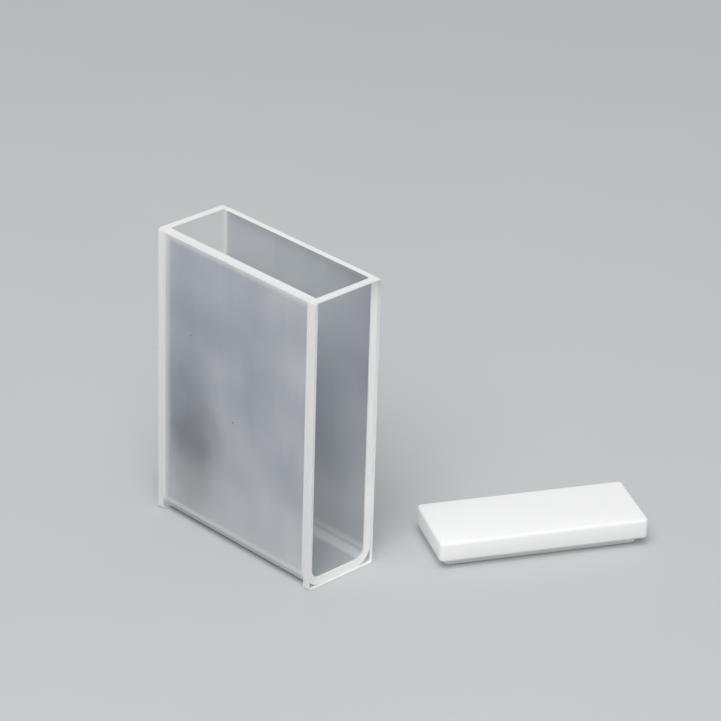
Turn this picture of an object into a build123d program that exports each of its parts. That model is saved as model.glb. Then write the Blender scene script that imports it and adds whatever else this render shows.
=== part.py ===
from build123d import *
import os

# A spectrometer cell: a U-shaped glass channel closed at each end by a window, and its loose lid.
# The origin is the middle of the cell's underside. The light path runs along X and +Z is up.
# All sizes are in millimetres.

# The chamber, which holds the sample
path_length = 30.0  # from window to window, along X
chamber_width = 10.0  # from wall to wall, along Y
chamber_corner_radius = 1.4  # where each wall turns into the floor

# The glass round it
cell_height = 45.0
wall_thickness = 1.25
floor_thickness = 1.25
window_thickness = 1.25
ground_edge = 0.3  # the bevel ground on the glass's outer edges

# The lid, which lies on its plug beside the cell
lid_end_setback = 0.5  # from each window's outer face to the lid's edge, when the lid is on
lid_side_setback = 0.2  # and from each wide wall's outer face
lid_plate_thickness = 3.1
lid_corner_radius = 0.7
lid_edge_radius = 0.45
plug_clearance = 0.5  # between the plug and each side of the chamber
plug_height = 1.45
plug_corner_radius = 0.6
plug_edge_bevel = 0.25
lid_ahead = 10.25  # from the cell's end to the lid's middle, along X
lid_aside = 22.05  # from the cell's side to the lid's middle, along Y
lid_turn = 62.1  # the lid's long side, in degrees from X

cell_length = path_length + 2 * window_thickness
cell_width = chamber_width + 2 * wall_thickness
cell_corner_radius = chamber_corner_radius + wall_thickness

os.makedirs("parts", exist_ok=True)


def save(piece, name):
    """Labels a finished piece and writes it to its own file."""
    piece.part.label = name
    export_step(piece.part, f"parts/{name}.step")


# The channel is one bent piece of glass: both wide walls and the floor, in the same thickness
# all round each bottom corner.
with BuildPart() as channel:
    channel_end = Plane.YZ.offset(-path_length / 2)
    with BuildSketch(channel_end) as outside:
        Rectangle(cell_width, cell_height, align=(Align.CENTER, Align.MIN))
        fillet(outside.vertices().group_by(Axis.Y)[0], cell_corner_radius)
    extrude(amount=path_length)
    with BuildSketch(channel_end) as inside:
        with Locations((0, floor_thickness)):
            Rectangle(chamber_width, cell_height, align=(Align.CENTER, Align.MIN))
        fillet(inside.vertices().group_by(Axis.Y)[0], chamber_corner_radius)
    extrude(amount=path_length, mode=Mode.SUBTRACT)
    rim_edges = channel.edges().filter_by(Axis.X).group_by(Axis.Z)[-1].sort_by(Axis.Y)
    chamfer([rim_edges[0], rim_edges[-1]], ground_edge)
save(channel, "cell_channel")


def make_window(name, side):
    """One end window: a square-cornered plate on the channel's end at +X (side 1) or -X (side -1).

    Its bevel runs all round the outer face. The inner face lies flat on the channel's end.
    """
    with BuildPart() as window:
        with BuildSketch(Plane.YZ.offset(side * path_length / 2)):
            Rectangle(cell_width, cell_height, align=(Align.CENTER, Align.MIN))
        extrude(amount=side * window_thickness)
        outer_face = window.faces().sort_by(Axis.X)[-1 if side > 0 else 0]
        chamfer(outer_face.edges(), ground_edge)
    save(window, name)


make_window("window_right", 1)
make_window("window_left", -1)

# The lid is one machined piece: a plate that covers the rim, and a plug that drops into the chamber.
lid_place = Plane(
    Location(
        (cell_length / 2 + lid_ahead, cell_width / 2 + lid_aside, 0),
        (0, 0, lid_turn),
    )
)
with BuildPart() as lid:
    with BuildSketch(lid_place) as plug_outline:
        Rectangle(path_length - 2 * plug_clearance, chamber_width - 2 * plug_clearance)
        fillet(plug_outline.vertices(), plug_corner_radius)
    extrude(amount=plug_height)
    chamfer(lid.faces().sort_by(Axis.Z)[0].edges(), plug_edge_bevel)
    with BuildSketch(lid_place.offset(plug_height)) as plate_outline:
        Rectangle(cell_length - 2 * lid_end_setback, cell_width - 2 * lid_side_setback)
        fillet(plate_outline.vertices(), lid_corner_radius)
    extrude(amount=lid_plate_thickness)
    plate_top = lid.faces().sort_by(Axis.Z)[-1]
    plate_underside = lid.faces().filter_by(Axis.Z).sort_by(Axis.Z)[1]
    fillet(plate_top.edges() + plate_underside.outer_wire().edges(), lid_edge_radius)
save(lid, "lid")
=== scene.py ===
from math import cos, radians, sin

import bmesh
import bpy
from mathutils import Matrix, Vector


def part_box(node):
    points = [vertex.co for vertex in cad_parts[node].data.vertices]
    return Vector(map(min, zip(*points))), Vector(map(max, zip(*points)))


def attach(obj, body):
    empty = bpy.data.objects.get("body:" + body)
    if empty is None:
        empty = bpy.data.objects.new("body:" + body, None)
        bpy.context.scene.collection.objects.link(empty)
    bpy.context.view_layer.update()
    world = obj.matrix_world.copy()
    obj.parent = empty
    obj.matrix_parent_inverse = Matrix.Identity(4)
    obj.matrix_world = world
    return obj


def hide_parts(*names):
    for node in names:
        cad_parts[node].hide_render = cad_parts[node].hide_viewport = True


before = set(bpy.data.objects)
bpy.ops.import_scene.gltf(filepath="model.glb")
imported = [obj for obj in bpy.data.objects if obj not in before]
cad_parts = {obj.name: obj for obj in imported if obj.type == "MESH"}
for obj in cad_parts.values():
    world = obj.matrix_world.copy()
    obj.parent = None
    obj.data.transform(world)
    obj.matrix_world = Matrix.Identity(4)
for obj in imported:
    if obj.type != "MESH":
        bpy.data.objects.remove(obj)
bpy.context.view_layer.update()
mm = 0.001


# ---- The channel ---------------------------------------------------------------------------
# The cell's body: both wide side walls and the floor, one strip of optical glass bent to a U.
# Its outside is ground matt with loose grit, its inside is left polished, and its rim and its
# two ends are ground flat and white. The windows are fused to the ends.

wall = 1.25 * mm  # the glass, all round the U
inner_bend = 1.4 * mm
rim_bevel = 0.3 * mm
end_arris = 0.08 * mm  # the small bevel beside each fused joint
seam_outside = {"left": 0.45 * mm, "right": 0.3 * mm}  # the ground seam's white strip beside each joint, widened by painted glow
seam_inside = {"left": 0.8 * mm, "right": 0.2 * mm}
bend_segments = 12
sharpest_smooth_bend = radians(32)
OUTSIDE, INSIDE, GROUND, FUSED = range(4)  # the channel's material slots


def on_plane(edge, axis, place, reach=0.01 * mm):
    """True if the whole edge lies at this place along the axis."""
    return all(abs(vert.co[axis] - place) < reach for vert in edge.verts)


def bevel(bm, edges, width, segments=1):
    """Rounds or bevels these edges, and gives back what the operator made."""
    return bmesh.ops.bevel(
        bm, geom=edges, offset=width, offset_type="OFFSET", affect="EDGES",
        segments=segments, profile=0.5, material=-1, clamp_overlap=True,
    )


def finish_piece(bm, name, materials, body, nodes):
    """Makes the bmesh a piece of the object: smooth where it bends gently, on its body."""
    mesh = bpy.data.meshes.new(name)
    bm.to_mesh(mesh)
    bm.free()
    for material in materials:
        mesh.materials.append(material)
    mesh.shade_smooth()
    mesh.set_sharp_from_angle(angle=sharpest_smooth_bend)
    piece = bpy.data.objects.new(name, mesh)
    bpy.context.scene.collection.objects.link(piece)
    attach(piece, body)
    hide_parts(*nodes)
    return piece


def linear(code):
    """A hex colour, as it is seen, in the linear numbers that a shader takes."""
    shares = [int(code[i : i + 2], 16) / 255 for i in (1, 3, 5)]
    return [c / 12.92 if c <= 0.04045 else ((c + 0.055) / 1.055) ** 2.4 for c in shares] + [1]


def new_material(name):
    """An empty material, ready for its nodes."""
    material = bpy.data.materials.new(name)
    material.use_nodes = True
    material.node_tree.nodes.clear()
    return material


def add(material, kind, inputs, **settings):
    """Adds a node. Each input is a number or colour to set, or another node's output to link."""
    tree = material.node_tree
    node = tree.nodes.new("ShaderNode" + kind)
    for setting, value in settings.items():
        setattr(node, setting, value)
    for key, value in inputs.items():
        if isinstance(value, bpy.types.NodeSocket):
            tree.links.new(value, node.inputs[key])
        else:
            node.inputs[key].default_value = value
    return node


def ground_optical_glass():
    """Matt glass, ground with loose grit: it scatters light both ways and shows nothing through.

    It reads as a cool milky veil with soft clouds and a darker patch low on the front wall.
    Painted glow makes it paler beside the left seam, under the rim and low down, standing for
    the light that is led along the glass, and painted light makes the back wall paler over
    its upper third.
    """
    cloud_size = 16 * mm
    streak_width = 2.4 * mm
    grit = 0.12 * mm  # real grit leaves pits of about 0.05 mm, drawn coarser so that they show
    material = new_material("ground optical glass")
    place = add(material, "TexCoord", {}).outputs["Object"]
    cloud = add(material, "TexNoise", {
        "Vector": place, "Scale": 1 / cloud_size, "Detail": 2, "Roughness": 0.45, "W": 83.4},
        noise_dimensions="4D")
    drawn = add(material, "Mapping", {"Vector": place, "Scale": (1, 1, 0.1)})
    streak = add(material, "TexNoise", {
        "Vector": drawn.outputs[0], "Scale": 1 / streak_width, "Detail": 2, "Roughness": 0.5})
    mixed = add(material, "Mix", {
        "Factor": 0.1, "A": cloud.outputs["Fac"], "B": streak.outputs["Fac"]})
    veil = add(material, "ValToRGB", {"Fac": mixed.outputs[0]})
    veil.color_ramp.elements[0].position = 0.32
    veil.color_ramp.elements[0].color = linear("#AEB5BF")
    veil.color_ramp.elements[1].position = 0.66
    veil.color_ramp.elements[1].color = linear("#D5D8DC")
    # a darker patch in the veil, low on the front wall
    wander = add(material, "TexNoise", {"Vector": place, "Scale": 1 / (6 * mm), "Detail": 2})
    wandering = add(material, "VectorMath", {
        0: wander.outputs["Color"], 1: (6 * mm, 0, 6 * mm), 2: place}, operation="MULTIPLY_ADD")
    dark_patch_offset = add(material, "VectorMath", {
        0: wandering.outputs[0], 1: (-5.5 * mm, -6.25 * mm, 14 * mm)}, operation="SUBTRACT")
    shaped = add(material, "VectorMath", {
        0: dark_patch_offset.outputs[0], 1: (1, 1, 0.4)}, operation="MULTIPLY")
    reach = add(material, "VectorMath", {0: shaped.outputs[0]}, operation="LENGTH")
    dark_patch_share = add(material, "MapRange", {
        "Value": reach.outputs["Value"], "From Min": 8.5 * mm, "From Max": 0,
        "To Max": 0.88}, interpolation_type="SMOOTHERSTEP")
    patchy = add(material, "Mix", {
        "Factor": dark_patch_share.outputs[0], "A": veil.outputs[0], "B": linear("#989CA1")},
        data_type="RGBA")
    # painted glow: paler zones beside the left seam, at the foot of the walls and under the rim,
    # standing for light led along the glass
    axes = add(material, "SeparateXYZ", {"Vector": place})
    seam_painted_light = add(material, "MapRange", {
        "Value": axes.outputs["X"], "From Min": -12.8 * mm, "From Max": -14.6 * mm,
        "To Max": 0.6}, interpolation_type="SMOOTHERSTEP")
    height = add(material, "MapRange", {"Value": axes.outputs["Z"], "From Max": 14 * mm})
    low_painted_light = add(material, "ValToRGB", {"Fac": height.outputs[0]})
    low_painted_light.color_ramp.interpolation = "EASE"
    low_painted_light.color_ramp.elements[0].color = (0.45, 0.45, 0.45, 1)
    low_painted_light.color_ramp.elements[1].color = (0, 0, 0, 1)
    # the painted glow peaks twice near the bottom, standing for the bright bottom edge and the
    # light streaks low in the chamber
    for position, level in (
        (0.02, 0.95), (0.07, 0.85), (0.11, 0.4), (0.155, 0.8), (0.22, 0.35), (0.5, 0.28),
    ):
        stop = low_painted_light.color_ramp.elements.new(position)
        stop.color = (level, level, level, 1)
    rim_painted_light = add(material, "MapRange", {
        "Value": axes.outputs["Z"], "From Min": 43.6 * mm, "From Max": 44.7 * mm,
        "To Max": 0.6}, interpolation_type="SMOOTHSTEP")
    # painted light: the back wall is lighter over its upper third, most of all towards the left
    # window
    back_wall = add(material, "Math", {0: axes.outputs["Y"], 1: 0.0}, operation="GREATER_THAN")
    leftward = add(material, "MapRange", {
        "Value": axes.outputs["X"], "From Min": 14 * mm, "From Max": 0, "To Min": 0.1,
        "To Max": 0.5})
    upper_third = add(material, "MapRange", {
        "Value": axes.outputs["Z"], "From Min": 27 * mm, "From Max": 40 * mm,
        "To Max": leftward.outputs[0]}, interpolation_type="SMOOTHSTEP")
    back_painted_light = add(material, "Math", {
        0: back_wall.outputs[0], 1: upper_third.outputs[0]}, operation="MULTIPLY")
    low_or_seam_painted_light = add(material, "Math", {
        0: seam_painted_light.outputs[0], 1: low_painted_light.outputs[0]}, operation="MAXIMUM")
    back_or_rim_painted_light = add(material, "Math", {
        0: back_painted_light.outputs[0], 1: rim_painted_light.outputs[0]}, operation="MAXIMUM")
    painted_light_share = add(material, "Math", {
        0: low_or_seam_painted_light.outputs[0], 1: back_or_rim_painted_light.outputs[0]}, operation="MAXIMUM")
    # all the painted light lifts the veil towards near-white
    veil_with_painted_light = add(material, "Mix", {
        "Factor": painted_light_share.outputs[0], "A": patchy.outputs[2], "B": linear("#FAFAFA")},
        data_type="RGBA")
    # a few specks of dust
    cells = add(material, "TexVoronoi", {"Vector": place, "Scale": 1 / (3 * mm)})
    apart = add(material, "SeparateXYZ", {"Vector": cells.outputs["Color"]})
    chosen = add(material, "Math", {0: apart.outputs["X"], 1: 0.9}, operation="GREATER_THAN")
    small = add(material, "Math", {0: cells.outputs["Distance"], 1: 0.04}, operation="LESS_THAN")
    speck = add(material, "Math", {0: chosen.outputs[0], 1: small.outputs[0]}, operation="MULTIPLY")
    # the dust is laid over the veil and its painted light
    dust_and_painted_light = add(material, "Mix", {
        "Factor": speck.outputs[0], "A": veil_with_painted_light.outputs[2], "B": linear("#5A5852")},
        data_type="RGBA")
    grain = add(material, "TexNoise", {
        "Vector": place, "Scale": 1 / grit, "Detail": 2})
    bump = add(material, "Bump", {
        "Height": grain.outputs["Fac"], "Strength": 0.25, "Distance": 0.02 * mm})
    front = add(material, "BsdfDiffuse", {
        "Color": dust_and_painted_light.outputs[2], "Roughness": 0.6, "Normal": bump.outputs[0]})
    through = add(material, "BsdfTranslucent", {
        "Color": dust_and_painted_light.outputs[2], "Normal": bump.outputs[0]})
    both = add(material, "MixShader", {0: 0.36, 1: front.outputs[0], 2: through.outputs[0]})
    add(material, "OutputMaterial", {"Surface": both.outputs[0]})
    return material


def clear_optical_glass(name, tint, shine_through):
    """Clear glass: it shows what is behind it, and shines at a low angle.

    Lamps shine through it almost undimmed, because light bent by a flat plate comes out as it
    went in.
    """
    material = new_material(name)
    glass = add(material, "BsdfPrincipled", {
        "Base Color": linear(tint), "Roughness": 0.0, "IOR": 1.47, "Transmission Weight": 1.0})
    clear = add(material, "BsdfTransparent", {"Color": linear(shine_through)})
    path = add(material, "LightPath", {})
    both = add(material, "MixShader", {
        0: path.outputs["Is Shadow Ray"], 1: glass.outputs[0], 2: clear.outputs[0]})
    add(material, "OutputMaterial", {"Surface": both.outputs[0]})
    return material


def ground_white_edge(name, darker, paler, let_through):
    """An edge of the same glass, ground flat with coarse grit: white and dry."""
    grit = 0.15 * mm  # drawn coarser than the real pits, so that it shows
    material = new_material(name)
    place = add(material, "TexCoord", {}).outputs["Object"]
    grain = add(material, "TexNoise", {
        "Vector": place, "Scale": 1 / grit, "Detail": 3, "Roughness": 0.7})
    tone = add(material, "ValToRGB", {"Fac": grain.outputs["Fac"]})
    tone.color_ramp.elements[0].position = 0.3
    tone.color_ramp.elements[0].color = linear(darker)
    tone.color_ramp.elements[1].position = 0.7
    tone.color_ramp.elements[1].color = linear(paler)
    bump = add(material, "Bump", {
        "Height": grain.outputs["Fac"], "Strength": 0.3, "Distance": 0.02 * mm})
    front = add(material, "BsdfDiffuse", {
        "Color": tone.outputs[0], "Roughness": 0.6, "Normal": bump.outputs[0]})
    through = add(material, "BsdfTranslucent", {
        "Color": tone.outputs[0], "Normal": bump.outputs[0]})
    both = add(material, "MixShader", {
        0: let_through, 1: front.outputs[0], 2: through.outputs[0]})
    # lamps reach the glass below a ground edge, because the edge only scatters them
    let_by = add(material, "BsdfTransparent", {"Color": linear("#C8C8C8")})
    path = add(material, "LightPath", {})
    edge = add(material, "MixShader", {
        0: path.outputs["Is Shadow Ray"], 1: both.outputs[0], 2: let_by.outputs[0]})
    add(material, "OutputMaterial", {"Surface": edge.outputs[0]})
    return material


matt_glass = ground_optical_glass()
inside_glass = clear_optical_glass("fire-polished optical glass", "#DEE2E5", "#EEEFEF")
white_edge = ground_white_edge("ground glass edge", "#E6E6E4", "#F6F6F5", 0.2)
# painted glow: the joint is drawn whiter still, standing for light led along the glass to it
seam_with_painted_light = ground_white_edge("fused glass seam", "#F4F4F3", "#FDFDFD", 0.08)

low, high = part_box("cell_channel")
half_chamber = high.y - wall
floor_top = low.z + wall
channel = bmesh.new()
# the inside of the U, from one rim down, across the floor and up to the other rim
corners = [
    channel.verts.new((low.x, y, z))
    for y, z in (
        (-half_chamber, high.z), (-half_chamber, floor_top),
        (half_chamber, floor_top), (half_chamber, high.z),
    )
]
profile = [channel.edges.new(pair) for pair in zip(corners, corners[1:])]
strip = bmesh.ops.extrude_edge_only(channel, edges=profile)
far_end = [part for part in strip["geom"] if isinstance(part, bmesh.types.BMVert)]
bmesh.ops.translate(channel, vec=(high.x - low.x, 0, 0), verts=far_end)
bends = [
    edge for edge in channel.edges
    if on_plane(edge, 2, floor_top) and not on_plane(edge, 0, low.x)
    and not on_plane(edge, 0, high.x)
]
bevel(channel, bends, inner_bend, bend_segments)
for face in channel.faces:
    face.material_index = INSIDE
inside_faces = set(channel.faces)
channel.normal_update()
bmesh.ops.solidify(channel, geom=list(channel.faces), thickness=wall)
for face in channel.faces:
    if face not in inside_faces:
        on_rim = face.calc_center_median().z > high.z - 0.01 * mm
        across = abs(face.normal.x) > 0.9
        face.material_index = FUSED if across else GROUND if on_rim else OUTSIDE
outer_rims = [
    edge for edge in channel.edges
    if on_plane(edge, 2, high.z) and (on_plane(edge, 1, low.y) or on_plane(edge, 1, high.y))
]
cut = bevel(channel, outer_rims, rim_bevel)
for face in cut["faces"]:
    face.material_index = GROUND
end_edges = [
    edge for edge in channel.edges
    if (on_plane(edge, 0, low.x) or on_plane(edge, 0, high.x))
    and any(abs(face.normal.x) < 0.5 for face in edge.link_faces)
]
cut = bevel(channel, end_edges, end_arris)
for face in cut["faces"]:
    face.material_index = GROUND
# painted glow: the wall's faces within these strips at each end take the white edge's material
for seam, slot_found in ((seam_outside, OUTSIDE), (seam_inside, INSIDE)):
    for end, side, which in ((low.x, 1, "left"), (high.x, -1, "right")):
        place = end + side * seam[which]
        touched = [face for face in channel.faces if face.material_index == slot_found]
        around = {edge for face in touched for edge in face.edges}
        corners = {vert for edge in around for vert in edge.verts}
        bmesh.ops.bisect_plane(
            channel, geom=touched + list(around) + list(corners), dist=0.001 * mm,
            plane_co=(place, 0, 0), plane_no=(1, 0, 0))
        for face in channel.faces:
            beyond = (face.calc_center_median().x - place) * side < 0
            if face.material_index == slot_found and beyond:
                face.material_index = GROUND
finish_piece(
    channel, "channel_glass", [matt_glass, inside_glass, white_edge, seam_with_painted_light],
    "root", ["cell_channel"],
)


# ---- The two windows -----------------------------------------------------------------------
# Each end of the channel is closed by a square-cornered plate of the same glass, polished on
# both faces so that a beam passes, with ground edges. It is fused on, with no glue or gasket.

face_bevel = 0.15 * mm  # round the outer face
joint_arris = 0.08 * mm  # round the inner face, beside the fused joint
corner_rounding = 0.5 * mm  # dubbed off by hand
joint_gap = 0.01 * mm  # keeps the window's inner face off the channel's end
POLISHED, EDGE = range(2)  # a window's material slots
window_glass = clear_optical_glass("lapped and polished optical glass", "#FDFDFD", "#F5F6F6")

for node, side in (("window_right", 1), ("window_left", -1)):
    low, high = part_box(node)
    outer = high.x if side > 0 else low.x
    inner = (low.x if side > 0 else high.x) + side * joint_gap
    window = bmesh.new()
    bmesh.ops.create_cube(window, size=1)
    bmesh.ops.scale(
        window, vec=(abs(outer - inner), high.y - low.y, high.z - low.z), verts=window.verts)
    bmesh.ops.translate(
        window, vec=((outer + inner) / 2, (low.y + high.y) / 2, (low.z + high.z) / 2),
        verts=window.verts)
    along = [
        edge for edge in window.edges
        if abs(edge.verts[0].co.x - edge.verts[1].co.x) > 0.5 * mm
    ]
    bevel(window, along, corner_rounding, 4)
    for place, width in ((outer, face_bevel), (inner, joint_arris)):
        bevel(window, [edge for edge in window.edges if on_plane(edge, 0, place)], width)
    window.normal_update()
    for face in window.faces:
        face.material_index = POLISHED if abs(face.normal.x) > 0.99 else EDGE
    finish_piece(
        window, node + "_glass", [window_glass, white_edge], "root", [node])


# ---- The lid -------------------------------------------------------------------------------
# One block of white PTFE, milled to a plate with a shallower plug below it that drops into the
# chamber. Its edges are broken by hand. It lies on its plug beside the cell.

lid_length, lid_width = 31.49 * mm, 12.09 * mm
plug_height = 1.45 * mm
plug_inset_end, plug_inset_side = 1.245 * mm, 1.545 * mm
plate_corner, plate_edge = 0.7 * mm, 0.45 * mm
plug_corner, plug_edge = 0.6 * mm, 0.25 * mm
lid_turn = radians(62.1)


def machined_ptfe():
    """Milled PTFE: dense waxy white that lets a little light in, with faint cutter lines."""
    cutter_step = 0.3 * mm
    material = new_material("machined PTFE")
    place = add(material, "TexCoord", {}).outputs["Object"]
    shader = add(material, "BsdfPrincipled", {
        "Base Color": linear("#FBFBF9"), "Roughness": 0.65, "IOR": 1.36,
        "Subsurface Weight": 0.5, "Subsurface Radius": (1.5 * mm, 1.4 * mm, 1.3 * mm),
        "Subsurface Scale": 1.0})
    turned = add(material, "Mapping", {
        "Vector": place, "Rotation": (0, 0, -lid_turn), "Scale": (0.02, 1, 1)})
    lines = add(material, "TexNoise", {
        "Vector": turned.outputs[0], "Scale": 1 / cutter_step, "Detail": 2})
    bump = add(material, "Bump", {
        "Height": lines.outputs["Fac"], "Strength": 0.15, "Distance": 0.02 * mm})
    material.node_tree.links.new(bump.outputs[0], shader.inputs["Normal"])
    add(material, "OutputMaterial", {"Surface": shader.outputs[0]})
    return material


low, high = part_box("lid")
lid = bmesh.new()
bmesh.ops.create_cube(lid, size=1)
bmesh.ops.scale(
    lid, vec=(lid_length, lid_width, high.z - low.z - plug_height), verts=lid.verts)
bmesh.ops.translate(lid, vec=(0, 0, (high.z + plug_height) / 2), verts=lid.verts)
upright = [edge for edge in lid.edges if abs(edge.verts[0].co.z - edge.verts[1].co.z) > mm]
bevel(lid, upright, plate_corner, 6)
for height in (high.z, plug_height):
    bevel(lid, [edge for edge in lid.edges if on_plane(edge, 2, height)], plate_edge, 5)
plug = bmesh.ops.create_cube(lid, size=1)["verts"]
bmesh.ops.scale(
    lid, verts=plug,
    vec=(lid_length - 2 * plug_inset_end, lid_width - 2 * plug_inset_side, plug_height))
bmesh.ops.translate(lid, vec=(0, 0, plug_height / 2), verts=plug)
plug = set(plug)
upright = [
    edge for edge in lid.edges
    if plug >= set(edge.verts) and abs(edge.verts[0].co.z - edge.verts[1].co.z) > mm
]
bevel(lid, upright, plug_corner, 6)
bevel(lid, [edge for edge in lid.edges if on_plane(edge, 2, 0)], plug_edge, 2)
# the plate and the plug are joined by the flat ledge between their outlines
hidden = [
    face for face in lid.faces
    if len(face.edges) > 4 and all(on_plane(edge, 2, plug_height) for edge in face.edges)
]
outlines = [edge for face in hidden for edge in face.edges]
bmesh.ops.delete(lid, geom=hidden, context="FACES_ONLY")
bmesh.ops.bridge_loops(lid, edges=outlines)
bmesh.ops.recalc_face_normals(lid, faces=lid.faces)
bmesh.ops.rotate(lid, matrix=Matrix.Rotation(lid_turn, 3, "Z"), verts=lid.verts)
bmesh.ops.translate(lid, vec=((low.x + high.x) / 2, (low.y + high.y) / 2, 0), verts=lid.verts)
finish_piece(lid, "lid_ptfe", [machined_ptfe()], "root", ["lid"])


# ---- The floor -----------------------------------------------------------------------------
# A plain pale matt table top, far larger than the view.

floor_side = 6.0
below_glass = 0.02 * mm  # just clear of the undersides


def pale_table():
    """A matt painted board: pale grey, with a mottle too faint to notice."""
    material = new_material("pale matt table")
    place = add(material, "TexCoord", {}).outputs["Object"]
    mottle = add(material, "TexNoise", {"Vector": place, "Scale": 1 / (40 * mm), "Detail": 2})
    tone = add(material, "ValToRGB", {"Fac": mottle.outputs["Fac"]})
    tone.color_ramp.elements[0].color = linear("#C6C7C8")
    tone.color_ramp.elements[1].color = linear("#CACBCC")
    shader = add(material, "BsdfPrincipled", {"Base Color": tone.outputs[0], "Roughness": 0.9})
    add(material, "OutputMaterial", {"Surface": shader.outputs[0]})
    return material


floor = bmesh.new()
bmesh.ops.create_grid(floor, x_segments=1, y_segments=1, size=floor_side / 2)
bmesh.ops.translate(floor, vec=(0, 0, -below_glass), verts=floor.verts)
floor_mesh = bpy.data.meshes.new("floor")
floor.to_mesh(floor_mesh)
floor.free()
floor_mesh.materials.append(pale_table())
table = bpy.data.objects.new("floor", floor_mesh)
bpy.context.scene.collection.objects.link(table)


# ---- Light and camera ----------------------------------------------------------------------
# A pale room all round and one wide soft box above the camera's side.

scene = bpy.context.scene
world = bpy.data.worlds.new("pale room")
scene.world = world
world.use_nodes = True
room = world.node_tree.nodes["Background"]
room.inputs["Color"].default_value = linear("#F4F6F8")
room.inputs["Strength"].default_value = 0.45

soft_box = bpy.data.lights.new("soft box", "AREA")
soft_box.shape = "SQUARE"
soft_box.size = 0.7
soft_box.energy = 7.6
lamp = bpy.data.objects.new("soft box", soft_box)
lamp.location = (0.32, -0.42, 0.85)
lamp.rotation_euler = (-lamp.location).to_track_quat("-Z", "Y").to_euler()
scene.collection.objects.link(lamp)

# the camera stands in front and to the right, above the cell, and is held slightly turned
azimuth, elevation, roll = radians(45.48), radians(26.78), radians(1.74)
distance = 475.6 * mm
aim = Vector((7.53, 11.17, 27.38)) * mm
sensor, focal_length = 36.0, 167.5
back = Vector((sin(azimuth) * cos(elevation), -cos(azimuth) * cos(elevation), sin(elevation)))
view = bpy.data.cameras.new("camera")
view.sensor_width = sensor
view.lens = focal_length
view.clip_start, view.clip_end = 0.01, 20
camera = bpy.data.objects.new("camera", view)
camera.location = aim + back * distance
camera.rotation_mode = "QUATERNION"
level_view = back.to_track_quat("Z", "Y")
camera.rotation_quaternion = level_view @ Matrix.Rotation(roll, 3, "Z").to_quaternion()
scene.collection.objects.link(camera)
scene.camera = camera
scene.view_settings.view_transform = "Standard"
